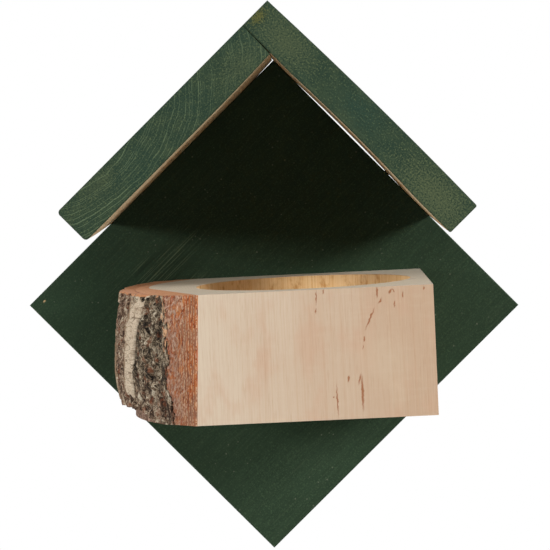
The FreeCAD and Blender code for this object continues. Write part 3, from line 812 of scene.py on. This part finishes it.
# The foot has crumbled away behind the facet, and the top has shrunk a little.
crumbled = (6.3 + 0.9 * clouds(run / 6, 0 * run, 12)) * smooth(-4, 24, past_facet)
shrunk = 0.3 * smooth(15, 60, past_facet)
height = level + crumbled * (1 - rise) - shrunk * rise
x, y, normal_x, normal_y, run, past_facet = bark_side(run_share, height)
arc_share = np.clip(past_facet / np.max(past_facet), 0, 1)

# The torn edge, which lies further forward low down, and the cork's thickness behind it, which
# grows towards the panel and is less at the top and the foot.
edge = -1.4 + 2 * clouds(height / 9, 0 * run, 3) + 2.4 * clouds(run / 3, height / 4, 4)
edge = edge - 2.4 * smooth(-8, -22, height) - 3.4 * smooth(-32, -50, height)
past_edge = past_facet - edge
cork = 5.4 + 11.7 * arc_share - 3.4 * arc_share**2
cork = cork - 2.6 * smooth(-2, 17, height) - 2.6 * smooth(-26, -48, height)
cork = cork * smooth(0, 20, past_edge) - 0.9 * smooth(15.8, 17.3, height)

# Upright plates about 5 mm wide and 15 mm tall with fissures between them, and their lumps and
# grains.
warp_around = clouds(run / 9, height / 9, 5, 2)
warp_up = clouds(run / 9, height / 9, 6, 2)
cells = np.stack([run / 5 + 0.5 * warp_around, height / 15 + 0.4 * warp_up, 0 * run], axis=1)
distances = np.array([noise.voronoi(Vector(cell))[0][:2] for cell in cells])
plate = smooth(0.02, 0.3, distances[:, 1] - distances[:, 0])
lumps = clouds(run / 1.7, height / 3, 7)
grains = clouds(run / 0.8, height / 1.1, 8, 2)
rough = -0.9 + 1.5 * plate + 0.4 * lumps + 0.4 * grains

# The strip of paper bark: its front and back edges, by height, and two tongues at its top.
strip_wave = clouds(height / 8, 0 * run, 9)
strip_teeth = clouds(height / 2, run / 5, 10)
strip_front = np.interp(height, (-45, -34, -5.5, 15, 17), (25.5, 24.5, 20, 13.5, 11))
strip_front = strip_front + 0.5 * strip_wave + 0.7 * strip_teeth
strip_back = np.interp(height, (-45, -34, -5.5, 9, 15), (37.5, 37, 35.5, 32, 31))
strip_back = strip_back + 1.6 * strip_wave + 1.3 * strip_teeth
tongues = np.exp(-(((past_facet - 12.5) / 1.6) ** 2))
tongues = tongues + np.exp(-(((past_facet - 20) / 1.4) ** 2))
strip_top = 13.6 + 3.6 * np.minimum(tongues, 1) + 0.5 * strip_teeth
strip_foot = -38.5 + 1.5 * strip_teeth + 0.15 * (past_facet - 25)
strip = smooth(-0.4, 0.4, past_facet - strip_front) * smooth(0.6, -0.6, past_facet - strip_back)
strip = strip * smooth(0.6, -0.6, height - strip_top) * smooth(-0.8, 0.8, height - strip_foot)
# Smaller remains of paper bark further round the log.
remains = smooth(0.28, 0.36, clouds(run / 16, height / 26, 14)) * smooth(44, 56, past_facet)
strip = np.maximum(strip, remains)
paper = 1.5 + 0.25 * lumps + 0.08 * grains
relief = rough * (1 - strip) + paper * strip
# The cork sits a little way into the inner bark. In front of its torn edge the sheet lies hidden
# inside the inner bark, clear of its ends.
THINNEST = 0.15
HIDDEN_OUTSIDE = -1.7
HIDDEN_INSIDE = -2
HIDDEN_CLEAR = 0.4
outer = side > 0.5
hidden = past_edge < 0
thick = np.maximum(cork + relief * smooth(0, 6, past_edge), THINNEST)
thick = np.where(hidden, HIDDEN_OUTSIDE, thick)
under = -0.5 * smooth(3, 0, past_edge) - 0.3
under = np.where(hidden, HIDDEN_INSIDE, under)
thick = np.where(outer, thick, under)
inside_ends = np.clip(height, TROUGH_FOOT + HIDDEN_CLEAR, TROUGH_TOP - HIDDEN_CLEAR)
height = np.where(hidden, inside_ends, height)
wrap(
    outer_bark,
    x + normal_x * thick,
    np.minimum(y + normal_y * thick, PANEL_FRONT),
    height,
    {
        "bark_run": run,
        "bark_rise": height,
        "paper": np.where(outer, strip, 0),
        "worn": smooth(9, 1, strip_back - past_facet),
        "plate": np.where(outer, np.clip(0.5 + rough / 4, 0, 1), 0.4),
        "behind_strip": smooth(-6, 6, past_facet - strip_back),
        "torn": smooth(6, 1.5, past_edge),
    },
)
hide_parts("outer_bark")

# Weathered birch cork: coarse grains from black to cream, with fissures darkened partly by painted
# shade, some rust-brown and a paper bark with lenticels that run round the log.
cork_bark, tree = new_material("weathered_birch_cork")
run_socket, rise_socket, bark_place = bark_places(tree)
mark = {}
for name in ("paper", "worn", "plate", "behind_strip", "torn"):
    mark[name] = add(tree, "Attribute", out="Fac", attribute_name=name)
CORK_MARKS = {
    "speckle": (0.55, 1, 1, 3, 0.7),
    "patch": (5, 10, 1, 3, 0.6),
    "rust": (3.5, 6, 1, 4, 0.65),
    "sliver": (0.9, 4.5, 1, 3, 0.6),
    "lenticel": (6, 0.8, 1, 3, 0.6),
    "smudge": (4, 6, 1, 4, 0.65),
    "break": (16, 5, 1, 1, 0.5),
}
pattern = cloudy_marks(tree, bark_place, CORK_MARKS)
CORK_GRAIN = (0.7, 1.6)
inputs = {0: pattern["speckle"].node.outputs["Color"], 1: (0.2, 0.2, 0), 2: bark_place}
grain_place = add(tree, "VectorMath", inputs, operation="MULTIPLY_ADD")
inputs = {"Vector": grain_place, "Scale": (1 / CORK_GRAIN[0], 1 / CORK_GRAIN[1], 1)}
grain_place = add(tree, "Mapping", inputs)
grain = add(tree, "TexVoronoi", {"Vector": grain_place, "Scale": 1}, voronoi_dimensions="2D")
inputs = {0: grain.node.outputs["Color"], 1: 0.36, 2: -0.64}
tone = add(tree, "Math", inputs, operation="MULTIPLY_ADD")
tone = add(tree, "Math", {0: pattern["patch"], 1: 0.95, 2: tone}, operation="MULTIPLY_ADD")
tone = add(tree, "Math", {0: pattern["speckle"], 1: 0.9, 2: tone}, operation="MULTIPLY_ADD")
# Both corks run from their darkest grains to their palest at the same tones.
CORK_TONES = (0.3, 0.42, 0.5, 0.6, 0.74)
BLACK_CORK = ("#18130e", "#4d4133", "#796955", "#9c8c76", "#d6cab3")
BROWN_CORK = ("#2a1d16", "#614939", "#866f5c", "#a39079", "#d3c7b1")
black_cork, brown_cork = [
    add(tree, "ValToRGB", {"Fac": tone}, stops=list(zip(CORK_TONES, shades)))
    for shades in (BLACK_CORK, BROWN_CORK)
]
colour = coats(
    tree,
    black_cork,
    [
        (mark["behind_strip"], 0, 1, 1, brown_cork),
        (rise_socket, -22, -42, 0.8, brown_cork),
        (pattern["rust"], 0.53, 0.66, 0.6, "#82482c"),
        # The fissures between the plates are darkened to near black: partly the cork's own dark
        # colour, partly painted shade in the clefts.
        (mark["plate"], 0.4, 0.14, 0.8, "#15110e"),
    ],
)
# The torn edge's slivers are painted paler: partly the fresh cork's own colour, partly a painted
# highlight where they catch the light.
torn_edge_and_highlight = add(tree, "Math", {0: mark["torn"], 1: pattern["sliver"]}, operation="MULTIPLY")
torn_here = add(tree, "MapRange", {0: rise_socket, 1: -30, 2: -10})
torn_edge_and_highlight = add(tree, "Math", {0: torn_edge_and_highlight, 1: torn_here}, operation="MULTIPLY")
paper_bark = coats(
    tree,
    "#c8b49b",
    [
        (pattern["speckle"], 0.45, 0.66, 0.8, "#efe2cd"),
        (pattern["smudge"], 0.5, 0.66, 0.6, "#9c836a"),
        (pattern["lenticel"], 0.57, 0.66, 0.75, "#6f543f"),
    ],
)
worn_share = add(tree, "Math", {0: mark["worn"], 1: pattern["smudge"]}, operation="MULTIPLY")
paper_bark = coats(
    tree,
    paper_bark,
    [
        (worn_share, 0.32, 0.52, 0.85, "#84694d"),
        (from_middle(tree, pattern["break"]), 0.016, 0.004, 0.75, "#6f5a45"),
    ],
)
colour = coats(
    tree,
    colour,
    [
        (torn_edge_and_highlight, 0.49, 0.55, 0.85, "#d9a880"),
        (mark["paper"], 0.3, 0.7, 1, paper_bark),
    ],
)
# The sawn top shows the brown inside of the cork.
sawn = coats(tree, "#c98f67", [(pattern["speckle"], 0.52, 0.35, 0.8, "#8d5637")])
inputs = {0: rise_socket, 1: 15.6, 2: 16.6}
rim = add(tree, "MapRange", inputs, interpolation_type="SMOOTHSTEP")
sawn_share = add(tree, "Math", {0: facing(tree, LOG_WAY), 1: rim}, operation="MULTIPLY")
colour = coats(tree, colour, [(sawn_share, 0.15, 0.5, 1, sawn)])
bump = add(tree, "Bump", {"Height": tone, "Strength": 0.3, "Distance": 0.0006})
shader = add(
    tree,
    "BsdfPrincipled",
    {"Base Color": colour, "Roughness": 0.85, "Normal": bump, "Specular IOR Level": 0.2},
)
add(tree, "OutputMaterial", {"Surface": shader})
outer_bark.data.materials.append(cork_bark)

# Screws. Zinc-plated countersunk wood screws with a cross recess. Two hold the roof boards to the
# panel's edges, two pull the ridge together, and two hold the trough from behind.
ZINC_SMEARS_PER_METRE = 900
# Zinc plating: a bright, slightly cloudy metal that is duller in smears of about a millimetre.
zinc, tree = new_material("zinc_plated_steel")
place = add(tree, "TexCoord", out="Object")
smear = add(tree, "TexNoise", {"Vector": place, "Scale": ZINC_SMEARS_PER_METRE, "Detail": 3})
roughness = add(tree, "MapRange", {0: smear, 1: 0.3, 2: 0.7, 3: 0.28, 4: 0.45})
shade = add(tree, "Mix", {0: smear, 6: "#b9bcbf", 7: "#d6d6d2"}, out=2, data_type="RGBA")
shader = add(tree, "BsdfPrincipled", {"Base Color": shade, "Metallic": 1, "Roughness": roughness})
add(tree, "OutputMaterial", {"Surface": shader})

# One screw is turned from its head down to its tip, in millimetres, and then copied.
HEAD_RADIUS = 4.8
HEAD_RIM = 0.6
HEAD_HEIGHT = 3.2
SHANK_RADIUS = 2.4
SHANK_STEP = 0.4
SHANK_STEPS = 102
SCREW_LENGTH = 50
TIP_RADIUS = 0.05
THREAD_START = 8
THREAD_END = 44.5
THREAD_PITCH = 2
THREAD_CORE = 1.75
THREAD_RIDGE = 0.65
bpy.ops.object.select_all(action="DESELECT")
bpy.ops.mesh.primitive_circle_add(vertices=32, radius=HEAD_RADIUS / 1000, fill_type="NGON")
screw = bpy.context.object
bpy.ops.object.mode_set(mode="EDIT")
bpy.ops.mesh.select_all(action="SELECT")
screw_steps = [(HEAD_RIM, HEAD_RADIUS), (HEAD_HEIGHT, SHANK_RADIUS)]
for step in range(1, SHANK_STEPS + 1):
    screw_steps.append((HEAD_HEIGHT + SHANK_STEP * step, SHANK_RADIUS))
screw_steps.append((SCREW_LENGTH, TIP_RADIUS))
reached, wide = 0, HEAD_RADIUS
for down, radius_there in screw_steps:
    way = (0, 0, -(down - reached) / 1000)
    bpy.ops.mesh.extrude_region_move(TRANSFORM_OT_translate={"value": way})
    if radius_there != wide:
        share = radius_there / wide
        bpy.ops.transform.resize(value=(share, share, 1))
    reached, wide = down, radius_there
bpy.ops.mesh.select_all(action="SELECT")
bpy.ops.mesh.normals_make_consistent(inside=False)
bpy.ops.object.mode_set(mode="OBJECT")
# The thread: a ridge that climbs by its pitch with each turn of the shank.
for vertex in screw.data.vertices:
    down = -vertex.co.z * 1000
    if THREAD_START < down < THREAD_END:
        turned = math.atan2(vertex.co.y, vertex.co.x) / (2 * math.pi)
        climb = (down / THREAD_PITCH + turned) % 1
        wanted = THREAD_CORE + THREAD_RIDGE * max(0, 1 - abs(climb - 0.5) * 3.2)
        share = wanted / (math.hypot(vertex.co.x, vertex.co.y) * 1000)
        vertex.co.x *= share
        vertex.co.y *= share
# The cross recess, cut by two bars of this width, length and height in metres.
RECESS_BAR = (0.0011, 0.0052, 0.0048)
for angle in (0, math.pi / 2):
    bpy.ops.object.select_all(action="DESELECT")
    bpy.ops.mesh.primitive_cube_add(size=1, rotation=(0, 0, angle), scale=RECESS_BAR)
    slot_cutter = bpy.context.object
    bpy.context.view_layer.objects.active = screw
    cut = screw.modifiers.new("cross recess", "BOOLEAN")
    cut.object = slot_cutter
    cut.operation = "DIFFERENCE"
    bpy.ops.object.modifier_apply(modifier=cut.name)
    bpy.data.objects.remove(slot_cutter)

# Where the heads lie, in metres: on the roof boards from the panel's top corner along the slope,
# forwards and outwards, and on the trough from the panel's middle, turned by the trough's tilt.
PANEL_SIDE = 0.2
RIDGE_TOP = PANEL_SIDE / math.sqrt(2)
RIDGE_SCREW_DEPTHS = (-0.13, -0.04)
TROUGH_SCREW_PLACES = (-0.0186, 0.0534)
left_board = Matrix.Translation((0, 0, RIDGE_TOP)) @ Matrix.Rotation(-math.pi / 4, 4, "Y")
right_board = Matrix.Translation((0, 0, RIDGE_TOP)) @ Matrix.Rotation(math.pi / 4, 4, "Y")
trough_frame = Matrix.Rotation(-TILT, 4, "Y")
from_behind = Matrix.Rotation(-math.pi / 2, 4, "X")
SCREW_PLACES = {
    "roof_screws": [
        left_board @ Matrix.Translation((-0.092, -0.01, 0.021)),
        right_board @ Matrix.Translation((0.092, -0.01, 0.0195)),
    ],
    "ridge_screws": [
        right_board @ Matrix.Translation((-0.01075, depth, 0.0178)) for depth in RIDGE_SCREW_DEPTHS
    ],
    "trough_screws": [
        trough_frame @ Matrix.Translation((across, -0.0005, -0.0372)) @ from_behind
        for across in TROUGH_SCREW_PLACES
    ],
}
for node, places in SCREW_PLACES.items():
    bpy.ops.object.select_all(action="DESELECT")
    for place in places:
        copy = bpy.data.objects.new(node + "_cross_head", screw.data.copy())
        bpy.context.scene.collection.objects.link(copy)
        copy.data.transform(place)
        copy.select_set(True)
        bpy.context.view_layer.objects.active = copy
    bpy.ops.object.join()
    pair = bpy.context.object
    pair.name = node + "_cross_head"
    bpy.ops.object.shade_smooth_by_angle(angle=math.radians(35))
    pair.data.materials.append(zinc)
    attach(pair, "root")
    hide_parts(node)
bpy.data.objects.remove(screw)

# Stage. A pale round floor well below the feeder that fades into a white surround, a soft lamp on
# each side of the camera, a weak one high above it and one behind the feeder for its back.
FLOOR_RADIUS = 1.5
FLOOR_LEVEL = -0.45


def seen_share(tree):
    """1 where the camera sees the stage itself, in metal or through glass, and 0 where it only
    lights the feeder."""
    seen = add(tree, "LightPath", out="Is Camera Ray")
    shown = seen
    for ray in ("Is Glossy Ray", "Is Transmission Ray"):
        shown = add(tree, "Math", {0: shown, 1: seen.node.outputs[ray]}, operation="MAXIMUM")
    return shown


bpy.ops.object.select_all(action="DESELECT")
bpy.ops.mesh.primitive_circle_add(
    vertices=96, radius=FLOOR_RADIUS, fill_type="NGON", location=(0, 0, FLOOR_LEVEL)
)
bpy.ops.object.transform_apply(location=True)
floor = bpy.context.object
floor.name = "floor"
# Matt paint: no gloss, a soft shadow and an edge that fades out.
floor_paint, tree = new_material("matt_pale_floor")
lift = add(tree, "Math", {0: seen_share(tree), 1: 0.3}, operation="MULTIPLY")
paint = add(
    tree,
    "BsdfPrincipled",
    {
        "Base Color": "#dededb",
        "Roughness": 0.9,
        "Specular IOR Level": 0,
        "Emission Color": "#ffffff",
        "Emission Strength": lift,
    },
)
floor_place = add(tree, "TexCoord", out="Object")
reach = reach_from(tree, floor_place, (0, 0, 0), (1, 1, THROUGH))
fade = add(tree, "MapRange", {0: reach, 1: 0.45, 2: 1.35}, interpolation_type="SMOOTHSTEP")
clear = add(tree, "BsdfTransparent")
faded = add(tree, "MixShader", {0: fade, 1: paint, 2: clear})
add(tree, "OutputMaterial", {"Surface": faded})
floor.data.materials.append(floor_paint)

surround = bpy.data.worlds.new("white_surround")
surround.use_nodes = True
bpy.context.scene.world = surround
tree = surround.node_tree
tree.nodes.clear()
strength = add(tree, "MapRange", {0: seen_share(tree), 3: 0.07, 4: 1})
sky = add(tree, "Background", {"Color": "#ffffff", "Strength": strength})
add(tree, "OutputWorld", {"Surface": sky})

# Each lamp has its place, width and height in metres and its power in watts.
LAMP_AIM = Vector((0, -0.1, 0.02))
LAMPS = {
    "right_softbox": ((2.16, -1.79, 1.1), 0.51, 0.7, 75),
    "left_softbox": ((-2.89, -1.83, 0.52), 0.56, 0.7, 74),
    "high_softbox": ((0.1, -1.9, 1.43), 0.8, 0.5, 7.8),
    "rear_softbox": ((-0.7, 2.4, 0.8), 0.8, 0.8, 46),
}
for name, (place, width, tall, power) in LAMPS.items():
    bpy.ops.object.light_add(type="AREA", location=place)
    lamp = bpy.context.object
    lamp.name = name
    lamp.data.shape = "RECTANGLE"
    lamp.data.size = width
    lamp.data.size_y = tall
    lamp.data.energy = power
    lamp.rotation_euler = (LAMP_AIM - lamp.location).to_track_quat("-Z", "Y").to_euler()

# The camera looks a little down and to the left. Its focal length is in the photograph's pixels.
CAMERA_PLACE = (0.01, -1.623, 0.11)
CAMERA_TURN = (90 - 3.303, 0.1, 0.329)
SENSOR_WIDTH = 36
FOCAL_PIXELS = 2777
PHOTO_WIDTH = 550
bpy.ops.object.camera_add(location=CAMERA_PLACE, rotation=np.radians(CAMERA_TURN))
camera = bpy.context.object
camera.data.sensor_width = SENSOR_WIDTH
camera.data.lens = SENSOR_WIDTH * FOCAL_PIXELS / PHOTO_WIDTH
bpy.context.scene.camera = camera
bpy.context.scene.view_settings.view_transform = "Standard"
